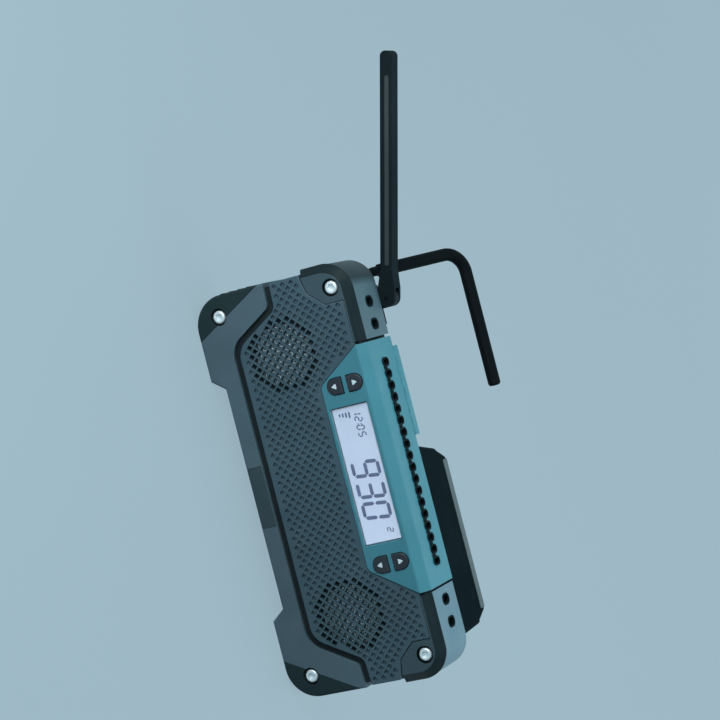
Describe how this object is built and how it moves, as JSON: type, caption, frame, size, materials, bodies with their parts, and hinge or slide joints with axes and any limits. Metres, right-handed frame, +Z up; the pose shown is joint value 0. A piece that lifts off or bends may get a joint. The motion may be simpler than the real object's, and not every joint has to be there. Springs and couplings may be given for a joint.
{
  "type": "jobsite radio",
  "caption": "Compact battery jobsite radio with a grilled front, a lit display, keys, a fold-out hanging hook, a swinging aerial and a slide-on battery pack.",
  "frame": {"origin": "middle of the base pad, on the surface that the radio stands on", "axes": "+X along the radio to its right end as seen from the front, +Y from the front to the battery pack, +Z up"},
  "size_m": [0.3723, 0.1184, 0.153],
  "materials": {
    "panel_plastic": "moulded, fine texture",
    "housing_plastic": "moulded, fine texture",
    "teal_plastic": "moulded, satin gloss",
    "grey_plastic": "moulded, satin",
    "corner_plastic": "moulded, semi gloss",
    "black_rubber": "moulded rubber",
    "key_rubber": "soft keys",
    "pack_plastic": "moulded, semi gloss",
    "clear_window": "clear acrylic",
    "display_glass": "liquid crystal cell",
    "backlight_panel": "light guide in a white frame",
    "circuit_board": "solder mask",
    "component_plastic": "moulded",
    "screw_steel": "zinc plated",
    "black_rod": "black coated steel rod",
    "magnet_iron": "ferrite magnet",
    "basket_steel": "pressed sheet",
    "cone_paper": "pulp cone",
    "contact_brass": "plated",
    "cell_can": "sleeved steel cans"
  },
  "bodies": {
    "radio": {"antenna_pin": "screw_steel", "aux_socket": "housing_plastic", "backlight": "backlight_panel", "base_pad": "black_rubber", "battery_dock": "housing_plastic", "board_parts": "component_plastic", "board_screws": "screw_steel", "bumper_inlay": "corner_plastic", "display_board": "circuit_board", "display_glass": "display_glass", "display_ribbon": "component_plastic", "display_window": "clear_window", "dock_screws": "screw_steel", "dock_terminals": "contact_brass", "end_cover_left": "grey_plastic", "end_cover_right": "grey_plastic", "flap_pin": "screw_steel", "front_grille": "panel_plastic", "front_housing": "housing_plastic", "hinge_block": "housing_plastic", "hinge_screws": "screw_steel", "housing_screws": "screw_steel", "key_switches": "component_plastic", "lower_bumper": "panel_plastic", "lower_corner_left": "black_rubber", "lower_corner_right": "black_rubber", "main_board": "circuit_board", "power_socket": "housing_plastic", "rear_feet": "black_rubber", "rear_housing": "housing_plastic", "speaker_frame_left": "basket_steel", "speaker_frame_right": "basket_steel", "speaker_gaskets": "black_rubber", "speaker_leads": "component_plastic", "speaker_magnet_left": "magnet_iron", "speaker_magnet_right": "magnet_iron", "speaker_screws": "screw_steel", "speaker_surrounds": "black_rubber", "top_corner_left": "corner_plastic", "top_corner_right": "corner_plastic", "top_cover": "teal_plastic"},
    "hook": {"hook_rod": "black_rod", "hook_clip": "screw_steel"},
    "antenna": {"antenna_mast": "black_rubber", "antenna_spring": "screw_steel"},
    "battery": {"battery_base": "pack_plastic", "battery_cover": "pack_plastic", "battery_screws": "screw_steel", "battery_cells": "cell_can", "cell_trays": "pack_plastic", "pack_board": "circuit_board", "pack_contacts": "contact_brass"},
    "latch": {"battery_latch": "pack_plastic"},
    "volume_up": {"volume_up_button": "key_rubber"},
    "volume_down": {"volume_down_button": "key_rubber"},
    "tune_up": {"tune_up_button": "key_rubber"},
    "tune_down": {"tune_down_button": "key_rubber"},
    "left_cone": {"speaker_cone_left": "cone_paper"},
    "right_cone": {"speaker_cone_right": "cone_paper"},
    "flap": {"socket_flap": "black_rubber"}
  },
  "joints": [
    {"name": "hook_hinge", "type": "hinge", "parent": "radio", "child": "hook", "pos_m": [-0.096, 0.016, 0.098], "axis": [1, 0, 0], "range_deg": [-117, 0]},
    {"name": "antenna_hinge", "type": "hinge", "parent": "radio", "child": "antenna", "pos_m": [-0.099, 0.0174, 0.11], "axis": [0, 1, 0], "range_deg": [-15.5, 162]},
    {"name": "battery_slide", "type": "slide", "parent": "radio", "child": "battery", "axis": [1, 0, 0], "range_m": [0, 0.11]},
    {"name": "latch_press", "type": "slide", "parent": "battery", "child": "latch", "axis": [0, 1, 0], "range_m": [0, 0.003], "stiffness_N_per_m": 1500},
    {"name": "volume_up_press", "type": "slide", "parent": "radio", "child": "volume_up", "axis": [0, 1, 0], "range_m": [0, 0.0008], "stiffness_N_per_m": 1500},
    {"name": "volume_down_press", "type": "slide", "parent": "radio", "child": "volume_down", "axis": [0, 1, 0], "range_m": [0, 0.0008], "stiffness_N_per_m": 1500},
    {"name": "tune_up_press", "type": "slide", "parent": "radio", "child": "tune_up", "axis": [0, 1, 0], "range_m": [0, 0.0008], "stiffness_N_per_m": 1500},
    {"name": "tune_down_press", "type": "slide", "parent": "radio", "child": "tune_down", "axis": [0, 1, 0], "range_m": [0, 0.0008], "stiffness_N_per_m": 1500},
    {"name": "left_cone_throw", "type": "slide", "parent": "radio", "child": "left_cone", "axis": [0, 1, 0], "range_m": [-0.001, 0.001], "stiffness_N_per_m": 1500},
    {"name": "right_cone_throw", "type": "slide", "parent": "radio", "child": "right_cone", "axis": [0, 1, 0], "range_m": [-0.001, 0.001], "stiffness_N_per_m": 1500},
    {"name": "flap_hinge", "type": "hinge", "parent": "radio", "child": "flap", "pos_m": [0.12675, 0.0018, 0.05625], "axis": [0, 1, 0], "range_deg": [0, 110]}
  ]
}
